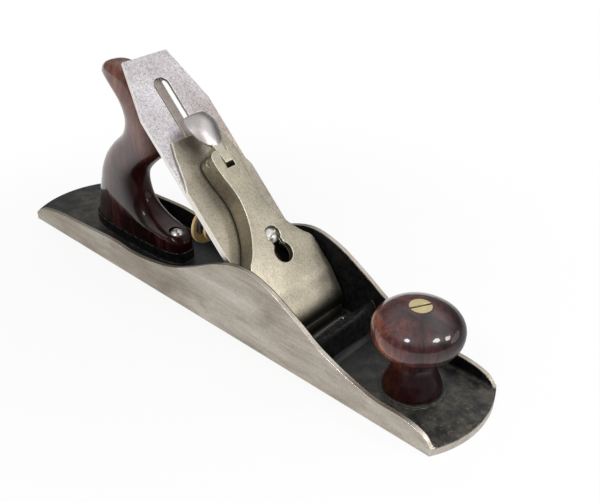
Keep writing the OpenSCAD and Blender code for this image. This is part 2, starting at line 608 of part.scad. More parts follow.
// Outline of the lever cap, drawn in by a margin
module cap_outline(margin) {
    line = concat([[lip_s + margin, cutter_w / 2 - margin], [51 - margin / 2, cutter_w / 2 - margin]],
        [for (q = curve(cap_half, 3)) [q[0] - (q[0] > 108 ? margin * (q[0] - 108) / 12 : margin / 2),
            q[1] - margin]]);
    polygon(concat(line, [for (i = [len(line) - 1:-1:0]) [line[i][0], -line[i][1]]]));
}
module lever_cap() color("tan") on_bed() difference() {
    intersection() {
        linear_extrude(30) cap_outline(0);
        // Side view: rolled nose in front, flat foot on the cap iron's hump
        across(far) polygon(concat([[lip_s, lip_n]],
            curve([[lip_s, 9.6], [11, 12.9], [16.5, 15.1], [24, 16.6], [32, lever_cap_h + 0.3],
                [44, lever_cap_h + 1.6], [56, lever_cap_h + 3]], 3),
            [[far / 3, lever_cap_h + 3], [far / 3, cap_foot], [30, cap_foot], [17, lip_n]]));
        crown();
    }
    waist_dip();
    // Hollow underside behind the lip
    intersection() {
        linear_extrude(30) cap_outline(lever_wall);
        across(far) polygon([[17, 0], [17, lip_n + 1], [24, 12.6], [hollow_low_s, lever_cap_h - 3.4],
            [cam_slot_s + 0.4, lever_cap_h - 2.6], [far / 3, lever_cap_h - 2.6], [far / 3, 0]]);
    }
    // Keyhole: slot for the shank, round recess for the head, and the large hole that the head passes
    translate([screw_s - keyhole_travel, -screw_shank_r - 0.4, 0])
        cube([keyhole_travel, 2 * screw_shank_r + 0.8, far]);
    translate([screw_s, 0, 0]) cylinder(r = screw_shank_r + 0.4, h = far);
    translate([screw_s, 0, screw_head_n - 0.1]) cylinder(r = head_way, h = far);
    translate([screw_s - keyhole_travel, 0, 0]) cylinder(r = screw_head_d / 2 + 1.4, h = far);
    // Undercut through which the domed head slides to the large hole
    translate([screw_s - keyhole_travel, -head_way, screw_head_n - 0.1])
        cube([keyhole_travel, 2 * head_way, 1.3]);
    // Slot of the cam lever, bore of its pin, and bore of the spring's rivet
    translate([cam_slot_s, -cam_w / 2 - gap / 2, -1]) cube([far, cam_w + gap, far]);
    translate([cam_s, 0, cam_n]) rotate([90, 0, 0]) cylinder(r = cam_pin_r + pin_fit, h = 60, center = true);
    translate([spring_s, 0, 0]) cylinder(r = spring_rivet_r + pin_fit, h = spring_rivet_n);
}
// Cylinder along the bed that crowns the lever cap
module crown() {
    half = cutter_w / 2;
    rise = crown_r - sqrt(crown_r * crown_r - half * half);
    translate([-20, 0, lever_cap_h + rise - crown_r]) rotate([0, 90, 0])
        cylinder(r = crown_r, h = 200, $fn = 240);
}
// The crown sinks a little towards the waist
module waist_dip() {
    depth = 0.5;
    chord = 50;
    dip_r = chord * chord / (8 * depth);
    side_r = 200;
    top_n = lever_cap_h + crown_r - sqrt(crown_r * crown_r - cutter_w * cutter_w / 4);
    translate([waist_s, 0, top_n - depth + dip_r]) rotate([90, 0, 0]) rotate_extrude($fn = 720) difference() {
        translate([0, -cutter_w / 2]) square([dip_r + 6, cutter_w]);
        translate([dip_r + side_r, 0]) circle(side_r, $fn = 360);
    }
}
waist_s = 88;
hollow_low_s = 34;
cam_s = 115.5;
cam_n = 13.2;
cam_w = 6.1;
cam_slot_s = 107.6;
cam_pin_r = 1.8;
spring_s = waist_s;
spring_rivet_r = 1.6;
spring_rivet_n = 17;
spring_w = 8;
spring_t = 0.8;
spring_n = iron_top + 0.1;
module cam_pin() color("silver") on_bed() translate([cam_s, 0, cam_n]) rotate([90, 0, 0])
    cylinder(r = cam_pin_r, h = 2 * 9, center = true);
// Flat spring from its rivet to under the cam
module cap_spring() color("slategray") on_bed() difference() {
    end_s = cam_s + 1.1;
    low = spring_n + spring_t;
    across(spring_w) polygon(concat([[spring_s - 4.5, spring_top_n - spring_t],
        [spring_s - 4.5, spring_top_n], [spring_s + 4.5, spring_top_n]],
        curve([[spring_s + 6, spring_top_n], [spring_s + 12, 11],
        [spring_s + 18, low + 0.9], [spring_s + 22, low], [end_s, low]], 3),
        curve([[end_s, spring_n], [spring_s + 22, spring_n], [spring_s + 18, spring_n + 0.8],
        [spring_s + 12, 11 - spring_t], [spring_s + 6, spring_top_n - spring_t]], 3)));
    translate([spring_s, 0, 0]) cylinder(r = spring_rivet_r + pin_fit, h = 30);
}
spring_top_n = lever_cap_h - 3.2;
module spring_rivet() color("silver") on_bed() translate([spring_s, 0, spring_top_n - spring_t - 1.2]) {
    cylinder(r = 3, h = 1.2);
    cylinder(r = spring_rivet_r, h = spring_rivet_n - 0.2 - spring_top_n + spring_t + 1.2);
}

// Cam lever: cam and tail in the slot, neck, and a thumb that widens and curls down at its sides
// Thumb: way past the pin, half width, top over the pin, droop of the sides, thickness
thumb_line = [[6.9, 2.7, 4.6, 0.6, 2.6], [8.5, 4.6, 5, 1, 2.5], [10.6, 6.3, 5.4, 1.8, 2.4],
    [13.9, thumb_w - 1.6, 5.8, 2.9, 2.3], [19.5, thumb_w - 0.2, 6, 3.6, 2.2], [23.5, thumb_w, 5.4, 4, 2.2],
    [26.6, thumb_w - 0.7, 4, 3.7, 2.1], [28.9, thumb_w - 1.9, 2.3, 2.5, 1.9], [29.8, thumb_w - 4, 0.7, 1, 1.5]];
thumb_tip = [30.1, 0, -0.1];
// Side view of the tail and the neck, from the pin
neck_line = [[-5, -1], [-5.6, 2.6], [-4.5, 6.1], [-1, 6.3], [3, 5.2], [8.2, 4.3], [8.9, 3.5], [6.5, 0.6],
    [5, -1.5]];
module cam_lever() color("silver") on_bed() translate([cam_s, 0, cam_n]) difference() {
    union() {
        translate([0, 0, -cam_throw]) rotate([90, 0, 0]) cylinder(r = cam_r, h = cam_w, center = true);
        across(cam_w) polygon(curve(neck_line, 3));
        thumb();
    }
    rotate([90, 0, 0]) cylinder(r = cam_pin_r + pin_fit, h = 60, center = true);
}
module thumb() {
    rows = curve(thumb_line, 2);
    n = 9;
    m = 2 * n;
    last = len(rows) - 1;
    points = [for (q = rows, j = [0:m - 1])
        let (top = j < n, u = top ? 1 - 2 * j / (n - 1) : 2 * (j - n) / (n - 1) - 1)
        [q[0], u * q[1], q[2] - q[3] * u * u - (top ? 0 : q[4] * (1 - 0.5 * u * u))]];
    end_faces = [for (j = [0:m - 1]) [last * m + (j + 1) % m, last * m + j, (last + 1) * m]];
    faces = concat([[for (j = [0:m - 1]) j]], end_faces, skin_faces(last, m));
    polyhedron(concat(points, [thumb_tip]), faces, convexity = 4);
}

sole_casting();
front_knob();
knob_rod();
knob_nut();
tote();
tote_rod();
tote_nut();
tote_toe_screw();
frog_screws();
frog_washers();
frog();
adjusting_stud();
yoke_pin();
lever_cap_screw();
lateral_pivot_rivet();
cutter();
cap_iron();
cap_iron_screw();
yoke();
depth_wheel();
lateral_lever();
lateral_disc();
lever_cap();
cap_spring();
spring_rivet();
cam_pin();
cam_lever();
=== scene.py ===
# The looks of the jack plane: finishes, light and the camera of the photograph.
# Everything is in metres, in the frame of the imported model.
import math

import bpy
from mathutils import Matrix, Vector


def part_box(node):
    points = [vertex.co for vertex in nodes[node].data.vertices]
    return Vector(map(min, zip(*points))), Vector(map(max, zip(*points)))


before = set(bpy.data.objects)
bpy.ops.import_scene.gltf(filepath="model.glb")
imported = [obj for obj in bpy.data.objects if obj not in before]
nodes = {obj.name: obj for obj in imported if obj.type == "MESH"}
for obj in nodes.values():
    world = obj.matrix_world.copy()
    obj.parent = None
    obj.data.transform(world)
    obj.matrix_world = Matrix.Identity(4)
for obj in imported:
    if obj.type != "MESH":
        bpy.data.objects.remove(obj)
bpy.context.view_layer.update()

MM = 0.001

# Places on the body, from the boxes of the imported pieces
BODY_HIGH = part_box("sole_casting")[1]
KNOB_LOW, KNOB_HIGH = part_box("front_knob")
TOE_X = BODY_HIGH[0]
WALL_GROUND = BODY_HIGH[1] - 2.6 * MM
MOUTH_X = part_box("cutter")[1][0] - 0.65 * MM
RIB_X = MOUTH_X + 22 * MM
RING_HEIGHT = 1.2 * MM
BED_TOP = KNOB_LOW[2] - RING_HEIGHT

# The knob: its axis, the middle height and radius of its ball, the heights between which its neck
# ends, and the way to its side with painted shade, which looks towards the toe and the plane's left
KNOB_X = (KNOB_LOW[0] + KNOB_HIGH[0]) / 2
BALL_Z = KNOB_HIGH[2] - 16 * MM
BALL_RADIUS = KNOB_HIGH[1]
KNOB_NECK = (20 * MM, 27 * MM)
KNOB_DARK_WAY = (0.8, 0.6)

# Between which places a finish changes: along the body, across and up the blade, and up the handle
HEEL_WEAR = (-125 * MM, -95 * MM)
SIDE_DARKENS = (-90 * MM, 50 * MM)
STAIN_ACROSS = (-2 * MM, 20 * MM)
STAIN_HEIGHTS = (85 * MM, 125 * MM)
TOTE_LIGHTENS = (20 * MM, 130 * MM)
HAND_TOP = (95 * MM, 115 * MM)

# Brushing along the bed: fine across it and long up it
ALONG_BED = (260.0, 2400.0, 260.0)

# Camera, worked out from the photograph's perspective
CAMERA_PLACE = (0.30796, -0.28411, 0.29753)
CAMERA_RIGHT = (0.74298, 0.66923, 0.01112)
CAMERA_FORWARD = (-0.55980, 0.63043, -0.53775)
CAMERA_LENS = 48.856
CAMERA_SENSOR = 36.0
CAMERA_NEAR = 10 * MM

# Soft lamps: azimuth and elevation in degrees, width, height, and power in watts
LAMPS = {
    "right": (-81, 48, 0.19, 0.21, 2.1),
    "front": (1, 44, 0.26, 0.21, 2.6),
    "front_low": (26, 31, 0.22, 0.2, 2.1),
    "front_soft": (40, 13, 0.6, 0.3, 1.1),
}
LAMP_AIM = (0.06, 0.0, 0.04)
LAMP_AWAY = 1.0

# Light of the surroundings: fill, what is mirrored near the horizon and where it brightens, and
# a soft glow behind the plane's far side
FILL_LIGHT = 0.48
HORIZON_LIGHT = 0.16
HORIZON_RISE = (0.32, 0.8)
GLOW = 0.5
GLOW_WAY = (0.29, 0.62, 0.73)
GLOW_SPREAD = (0.83, 0.99)

# The floor: half its width, its paper's white, its share of pure white near the plane, and the
# distances from the middle over which that share grows to 1
FLOOR_HALF = 3.0
PAPER = (0.93, 0.93, 0.93)
FLOOR_NEAR_WHITE = 0.86
FLOOR_FADE = (0.1, 0.32)

# Nodes whose curved outlines are made of short flats, and are shaded smooth: how near to each other
# their points are joined, and the turn from which an edge stays sharp
SMOOTHED = ("tote", "cam_lever", "sole_casting", "lever_cap", "cap_iron", "front_knob")
WELD_GAP = 0.005 * MM
SHARP_TURN = math.radians(32)

# Places of the first value, the second and the result on a Mix node, for numbers and for colours
MIX_NUMBERS = (2, 3, 0)
MIX_COLORS = (6, 7, 2)
BEVEL_SAMPLES = 6
RECESS_SAMPLES = 8


class Nodes:
    """A node tree, with short calls that add nodes to it and give their results."""

    def __init__(self, tree, coordinates):
        self.tree = tree
        self.place = self.add("ShaderNodeTexCoord").outputs[coordinates]

    def add(self, kind, **settings):
        node = self.tree.nodes.new(kind)
        for name, value in settings.items():
            setattr(node, name, value)
        return node

    def link(self, source, target):
        """Gives an input a number, a vector, a colour or the result of another node."""
        if isinstance(source, (int, float)):
            target.default_value = source
        elif isinstance(source, tuple):
            target.default_value = source if len(target.default_value) == len(source) else source + (1.0,)
        else:
            self.tree.links.new(source, target)

    def axes(self, vector=None):
        split = self.add("ShaderNodeSeparateXYZ")
        self.link(vector or self.place, split.inputs[0])
        return split.outputs[0], split.outputs[1], split.outputs[2]

    def measure(self, operation, a, b=None):
        """A number from one or two vectors."""
        node = self.add("ShaderNodeVectorMath", operation=operation)
        self.link(a, node.inputs[0])
        if b is not None:
            self.link(b, node.inputs[1])
        return node.outputs["Value"]

    def math(self, operation, a, b=0.0, clamp=False):
        node = self.add("ShaderNodeMath", operation=operation, use_clamp=clamp)
        self.link(a, node.inputs[0])
        self.link(b, node.inputs[1])
        return node.outputs[0]

    def chain(self, operation, values):
        result = values[0]
        for value in values[1:]:
            result = self.math(operation, result, value)
        return result

    def times(self, *values):
        return self.chain("MULTIPLY", values)

    def plus(self, *values):
        return self.chain("ADD", values)

    def most(self, *values):
        return self.chain("MAXIMUM", values)

    def less(self, a, b):
        return self.math("SUBTRACT", a, b)

    def without(self, value):
        return self.less(1.0, value)

    def size(self, value):
        return self.math("ABSOLUTE", value)

    def step(self, value, low, high):
        """0 below low, 1 above high, and smooth between them."""
        node = self.add("ShaderNodeMapRange", interpolation_type="SMOOTHSTEP")
        self.link(value, node.inputs["Value"])
        node.inputs["From Min"].default_value = low
        node.inputs["From Max"].default_value = high
        return node.outputs[0]

    def blend(self, share, a, b, sockets, **settings):
        first, second, result = sockets
        node = self.add("ShaderNodeMix", **settings)
        self.link(share, node.inputs[0])
        self.link(a, node.inputs[first])
        self.link(b, node.inputs[second])
        return node.outputs[result]

    def between(self, share, a, b):
        """A number that goes from a to b as the share goes from 0 to 1."""
        return self.blend(share, a, b, MIX_NUMBERS)

    def mix(self, share, a, b):
        """A colour that goes from a to b as the share goes from 0 to 1."""
        return self.blend(share, a, b, MIX_COLORS, data_type="RGBA")

    def tint(self, share, color, by):
        """A colour multiplied by another, as far as the share says."""
        return self.blend(share, color, by, MIX_COLORS, data_type="RGBA", blend_type="MULTIPLY")


class Finish(Nodes):
    """A material's node tree, with calls for patterns, wear and relief."""

    def __init__(self, name, rough=0.5, metal=0.0):
        self.material = bpy.data.materials.new(name)
        self.material.use_nodes = True
        super().__init__(self.material.node_tree, "Object")
        self.shader = self.tree.nodes["Principled BSDF"]
        self.set(Roughness=rough, Metallic=metal)

    def set(self, **inputs):
        """Sets inputs of the shader, with _ for each space in their names."""
        for name, value in inputs.items():
            self.link(value, self.shader.inputs[name.replace("_", " ")])

    def scaled(self, scale, turn=(0.0, 0.0, 0.0)):
        """The place, stretched and turned, for patterns that run one way."""
        node = self.add("ShaderNodeMapping")
        self.link(self.place, node.inputs["Vector"])
        self.link(scale, node.inputs["Scale"])
        self.link(turn, node.inputs["Rotation"])
        return node.outputs[0]

    def noise(self, scale, detail=3.0, rough=0.5, vector=None, warp=0.0):
        """Cloudy pattern: its fineness, how many finer layers it has, and how strong those are."""
        node = self.add("ShaderNodeTexNoise")
        self.link(vector or self.place, node.inputs["Vector"])
        for name, value in (("Scale", scale), ("Detail", detail), ("Roughness", rough), ("Distortion", warp)):
            self.link(value, node.inputs[name])
        return node.outputs["Fac"]

    def cells(self, scale):
        """Distance from the middle of scattered cells."""
        node = self.add("ShaderNodeTexVoronoi")
        self.link(self.place, node.inputs["Vector"])
        self.link(scale, node.inputs["Scale"])
        return node.outputs["Distance"]

    def ramp(self, value, *stops):
        """Colours or grey values at places from 0 to 1."""
        node = self.add("ShaderNodeValToRGB")
        self.link(value, node.inputs[0])
        elements = node.color_ramp.elements
        while len(elements) < len(stops):
            elements.new(0.5)
        for element, (place, color) in zip(elements, stops):
            element.position = place
            if isinstance(color, (int, float)):
                color = (color, color, color)
            element.color = color + (1.0,)
        return node.outputs[0]

    def normal(self):
        """The three parts of the surface's own direction."""
        return self.axes(self.add("ShaderNodeNewGeometry").outputs["Normal"])

    def rounded(self, radius):
        """Normal of the surface as if its edges were rounded."""
        node = self.add("ShaderNodeBevel", samples=BEVEL_SAMPLES)
        self.link(radius, node.inputs["Radius"])
        return node.outputs[0]

    def edges(self, radius, gain=6.0):
        """1 along worn edges and 0 away from them."""
        surface = self.add("ShaderNodeNewGeometry").outputs["Normal"]
        facing = self.measure("DOT_PRODUCT", self.rounded(radius), surface)
        return self.math("MULTIPLY", self.without(facing), gain, clamp=True)

    def recess(self, reach, closed=0.25, open_from=0.7):
        """1 deep in slots and corners, and 0 on open surfaces."""
        node = self.add("ShaderNodeAmbientOcclusion", samples=RECESS_SAMPLES)
        self.link(reach, node.inputs["Distance"])
        return self.without(self.step(node.outputs["AO"], closed, open_from))

    def bump(self, height, depth, strength, normal=None):
        node = self.add("ShaderNodeBump")
        self.link(height, node.inputs["Height"])
        self.link(depth, node.inputs["Distance"])
        self.link(strength, node.inputs["Strength"])
        if normal is not None:
            self.link(normal, node.inputs["Normal"])
        return node.outputs[0]


def lighter(color, by):
    return tuple(min(1.0, part * by) for part in color)


def steel(name, light, dark, rough, brush=0.3, grain=0.35, pits=0.5, stretch=(300.0, 300.0, 300.0),
          edge=0.5 * MM, edge_light=2.0, recess_painted_shade=0.75, side=None, foot=None, reach=1.6 * MM, corner=(0.25, 0.7),
          freckles=0.0, stained=0.0, neck=None):
    """Worn steel: soft blotches, fine brushing along one way, speckles, small dark pits, bright
    edges and painted shade in corners and slots. side is the colour of its narrow sides: bare ground
    metal with a painted reflection of the white floor. foot gives the heights between which painted
    shade and a painted dark reflection darken it towards the mouth. freckles and stained are shares of rust
    specks and of a brown stain low on its far side, and neck gives the heights of the turn to olive."""
    f = Finish(name, rough, 1.0)
    height = f.axes()[2]
    blotch = f.noise(42.0, 5.0, 0.62)
    color = f.mix(f.ramp(blotch, (0.34, 0.0), (0.66, 1.0)), dark, light)
    streak = f.noise(1.0, 4.0, 0.7, f.scaled(stretch))
    color = f.tint(brush, color, f.ramp(streak, (0.32, 0.55), (0.66, 1.15)))
    fine = f.noise(1700.0, 2.0, 0.6)
    color = f.tint(grain, color, f.ramp(fine, (0.32, 0.45), (0.55, 1.0)))
    speckle = f.noise(820.0, 3.0, 0.7)
    color = f.tint(grain, color, f.ramp(speckle, (0.36, 0.62), (0.5, 1.0), (0.66, 1.12)))
    spot = f.times(f.without(f.step(f.cells(330.0), 0.06, 0.16)), f.step(f.noise(60.0), 0.5, 0.62))
    color = f.mix(f.times(spot, pits), color, (0.05, 0.04, 0.03))
    if freckles:
        rust = f.ramp(f.noise(1050.0, 2.0, 0.75), (0.38, 0.22), (0.47, 1.0))
        color = f.tint(freckles, color, rust)
    if neck:
        color = f.mix(f.without(f.step(height, *neck)), color, (0.42, 0.385, 0.30))
    if stained:
        far_side = f.step(f.axes()[1], *STAIN_ACROSS)
        stain = f.times(far_side, f.without(f.step(height, *STAIN_HEIGHTS)), stained)
        color = f.tint(stain, color, (0.80, 0.68, 0.56))
    # Painted shade and dark reflection near the mouth: darker below the foot heights.
    if foot:
        painted_low_shade = f.without(f.step(height, *foot))
        color = f.mix(f.times(painted_low_shade, 0.88), color, (0.05, 0.045, 0.035))
    worn = f.edges(edge)
    color = f.mix(f.times(worn, 0.9), color, lighter(light, edge_light))
    # Narrow sides: bare ground metal, painted pale as a reflection of the white floor.
    if side:
        painted_side_reflection = f.step(f.size(f.normal()[1]), 0.8, 0.95)
        color = f.mix(f.times(painted_side_reflection, 0.85), color, side)
    # Painted shade in corners, slots and gaps, which also makes them less metallic.
    painted_corner_shade = f.times(f.recess(reach, *corner), recess_painted_shade)
    color = f.mix(painted_corner_shade, color, (0.02, 0.017, 0.014))
    roughness = f.between(f.ramp(streak, (0.3, 0.0), (0.7, 1.0)), rough * 0.85, rough * 1.2)
    relief = f.less(f.plus(f.times(streak, 0.5), f.times(fine, 0.35)), f.times(spot, 0.8))
    f.set(Base_Color=color, Metallic=f.without(painted_corner_shade), Roughness=roughness,
          Normal=f.bump(relief, 0.03 * MM, 0.3, f.rounded(edge)))
    return f.material


def ground_iron(f, x, worn_edge, scratch):
    """Warm grey iron, mottled, with long fine scratches, darker stains and bright edges."""
    blotch = f.noise(1.0, 6.0, 0.66, f.scaled((16.0, 60.0, 52.0), (0.0, -0.06, 0.0)), 0.4)
    iron = f.ramp(blotch, (0.32, (0.34, 0.295, 0.24)), (0.48, (0.475, 0.425, 0.36)),
                  (0.66, (0.62, 0.575, 0.51)))
    iron = f.tint(f.without(f.step(x, *SIDE_DARKENS)), iron, (0.80, 0.785, 0.76))
    iron = f.tint(0.3, iron, f.ramp(scratch, (0.35, 0.5), (0.62, 1.1)))
    grain = f.noise(1500.0, 2.0, 0.6)
    iron = f.tint(0.4, iron, f.ramp(grain, (0.32, 0.5), (0.52, 1.0)))
    stain = f.times(f.step(f.noise(85.0, 5.0, 0.7, warp=0.6), 0.62, 0.72), 0.4)
    iron = f.mix(stain, iron, (0.17, 0.14, 0.115))
    return f.mix(f.times(worn_edge, 0.8), iron, (0.92, 0.89, 0.86))


def body_lacquer(f, x, bed, worn_edge, chipped):
    """Black lacquer, satin on the bed, worn to olive grey iron at toe and heel."""
    lacquer = f.ramp(f.noise(300.0, 4.0, 0.6), (0.35, (0.006, 0.006, 0.007)), (0.72, (0.020, 0.019, 0.019)))
    dust = f.step(f.noise(95.0, 6.0, 0.7), 0.36, 0.72)
    toe = f.step(x, RIB_X + 4 * MM, RIB_X + 24 * MM)
    heel = f.without(f.step(x, *HEEL_WEAR))
    inside = f.mix(f.times(dust, f.most(toe, heel), bed), lacquer, (0.088, 0.082, 0.066))
    inside = f.mix(f.times(chipped, 0.7), inside, (0.12, 0.10, 0.07))
    rib = f.without(f.step(f.size(f.less(x, RIB_X)), 7 * MM, 9 * MM))
    bare = f.times(worn_edge, f.step(f.noise(240.0), 0.40, 0.58), f.without(f.times(rib, 0.2)))
    return f.mix(f.times(bare, 0.75), inside, (0.30, 0.27, 0.23))


def body_iron():
    """Iron body: ground sides and edges, and black lacquer inside that is worn at the ends."""
    f = Finish("body_iron", 0.4, 0.0)
    x, y, z = f.axes()
    side = f.step(f.size(y), WALL_GROUND - 0.1 * MM, WALL_GROUND + 0.2 * MM)
    low = f.without(f.step(z, BED_TOP - 0.9 * MM, BED_TOP - 0.6 * MM))
    near_mouth = f.without(f.step(f.size(f.less(x, MOUTH_X)), 14 * MM, 16 * MM))
    under = f.step(f.times(f.normal()[2], -1.0), 0.5, 0.9)
    mouth = f.times(near_mouth, f.without(f.most(side, under)))
    ground = f.most(side, f.times(low, f.without(mouth)))
    bed = f.without(f.step(z, BED_TOP + 0.6 * MM, BED_TOP + 2.5 * MM))
    worn_edge = f.edges(0.5 * MM, 5.0)
    scratch = f.noise(1.0, 5.0, 0.75, f.scaled((45.0, 800.0, 800.0), (0.0, 0.1, 0.0)))
    rim = f.step(x, TOE_X - 34 * MM, TOE_X - 6 * MM)
    chipped = f.times(f.step(f.plus(f.times(rim, 0.1), f.noise(330.0, 5.0, 0.72)), 0.62, 0.72), bed)
    iron = ground_iron(f, x, worn_edge, scratch)
    inside = body_lacquer(f, x, bed, worn_edge, chipped)
    lump = f.noise(430.0)
    relief = f.between(ground, f.less(lump, f.times(chipped, 0.6)), f.times(scratch, 0.14))
    f.set(Base_Color=f.mix(ground, inside, iron),
          Metallic=f.between(ground, f.times(worn_edge, 0.5), 1.0),
          Roughness=f.between(ground, f.between(bed, 0.22, 0.4), f.between(worn_edge, 0.44, 0.28)),
          Specular_IOR_Level=f.between(bed, 0.06, 0.36),
          Normal=f.bump(relief, 0.2 * MM, 0.45, f.rounded(0.4 * MM)))
    return f.material


def lacquered(name):
    """Black lacquer on a casting, brighter where its edges are worn."""
    f = Finish(name, 0.28, 0.0)
    edge = 0.35 * MM
    color = f.ramp(f.noise(260.0, 4.0, 0.6), (0.35, (0.007, 0.007, 0.008)), (0.75, (0.022, 0.021, 0.020)))
    worn = f.times(f.edges(edge), f.step(f.noise(300.0), 0.45, 0.6))
    f.set(Base_Color=f.mix(f.times(worn, 0.6), color, (0.22, 0.20, 0.17)), Specular_IOR_Level=0.25,
          Normal=f.bump(f.noise(500.0), 0.2 * MM, 0.4, f.rounded(edge)))
    return f.material


def rosewood(name, dark, middle, light, zone, painted_shade_of, turn, coat_rough, coat_ior):
    """Polished rosewood: dark streaks and pores along the grain under a clear coat.
    zone gives the share of lighter wood, on the knob partly painted light, and the next argument the share of
    painted shade, as dull dark wood with little coat, both from the finish's node calls."""
    f = Finish(name, 0.34, 0.0)
    streak = f.noise(1.0, 6.0, 0.66, f.scaled((52.0, 90.0, 16.0), turn), 1.1)
    share = f.math("ADD", f.times(f.less(streak, 0.5), 2.0), zone(f), clamp=True)
    wood = f.ramp(share, (0.0, dark), (0.45, middle), (1.0, light))
    line = f.noise(1.0, 4.0, 0.65, f.scaled((420.0, 420.0, 26.0), turn), 0.5)
    wood = f.tint(0.55, wood, f.ramp(line, (0.36, 0.3), (0.52, 1.1)))
    pore = f.noise(1.0, 2.0, 0.6, f.scaled((1900.0, 1900.0, 150.0), turn))
    wood = f.tint(0.55, wood, f.ramp(pore, (0.34, 0.2), (0.46, 1.0)))
    painted_dark_wood = painted_shade_of(f)
    # Painted shade: darker wood with less coat and sheen.
    wood = f.mix(f.times(painted_dark_wood, 0.8), wood, dark)
    f.set(Base_Color=wood, Specular_IOR_Level=f.between(painted_dark_wood, 0.2, 0.06),
          Coat_Weight=f.between(painted_dark_wood, 1.0, 0.12), Coat_Roughness=coat_rough, Coat_IOR=coat_ior,
          Normal=f.bump(pore, 0.04 * MM, 0.2))
    return f.material


def knob_out(f):
    """How far a place lies from the knob's axis towards its side with painted shade."""
    x, y, _ = f.axes()
    return f.plus(f.times(f.less(x, KNOB_X), KNOB_DARK_WAY[0]), f.times(y, KNOB_DARK_WAY[1]))


def knob_painted_light(f):
    """Painted light, partly lighter wood: lighter towards the heel and the plane's right, where the ball
    catches light and mirrors the floor, most of all low on the ball.
    """
    side = f.step(f.times(knob_out(f), -1.0), -0.5 * BALL_RADIUS, 1.1 * BALL_RADIUS)
    low = f.without(f.step(f.axes()[2], BALL_Z - 6 * MM, BALL_Z + 2 * MM))
    return f.plus(f.times(side, 0.55), f.times(low, side, 0.4), 0.06)


def knob_painted_shade(f):
    """Painted shade on the knob, as dull dark wood: its neck, under its ball, and its dark side."""
    neck = f.without(f.step(f.axes()[2], *KNOB_NECK))
    return f.most(neck, f.times(f.step(knob_out(f), 0.25 * BALL_RADIUS, 0.95 * BALL_RADIUS), 0.9))


def tote_zone(f):
    """The handle is darker towards its foot."""
    return f.plus(f.times(f.step(f.axes()[2], *TOTE_LIGHTENS), 0.75), 0.04)


def tote_painted_shade(f):
    """Painted shade on the handle's front below its top, as dull dark wood."""
    return f.times(f.step(f.normal()[0], 0.0, 0.6), f.without(f.step(f.axes()[2], *HAND_TOP)))


def brass(name, light, dark, rough, metal=1.0, deep=0.95):
    """Turned brass: soft blotches, fine scratches, bright edges and painted shade in its slots and grooves.
    """
    f = Finish(name, rough, metal)
    edge = 0.12 * MM
    color = f.mix(f.ramp(f.noise(120.0, 4.0, 0.6), (0.35, 0.0), (0.7, 1.0)), dark, light)
    scratch = f.noise(1.0, 3.0, 0.7, f.scaled((2400.0, 300.0, 900.0), (0.0, 0.0, 0.6)))
    color = f.tint(0.25, color, f.ramp(scratch, (0.35, 0.55), (0.6, 1.1)))
    worn = f.edges(edge, 4.0)
    color = f.mix(f.times(worn, 0.5), color, lighter(light, 1.3))
    # Painted shade in slots and grooves, less metallic there; deep is its strength.
    recess_painted_shade = f.times(f.recess(2.2 * MM), deep)
    f.set(Base_Color=f.mix(recess_painted_shade, color, (0.03, 0.02, 0.01)), Metallic=f.between(recess_painted_shade, metal, 0.0),
          Normal=f.bump(scratch, 0.03 * MM, 0.3, f.rounded(edge)))
    return f.material


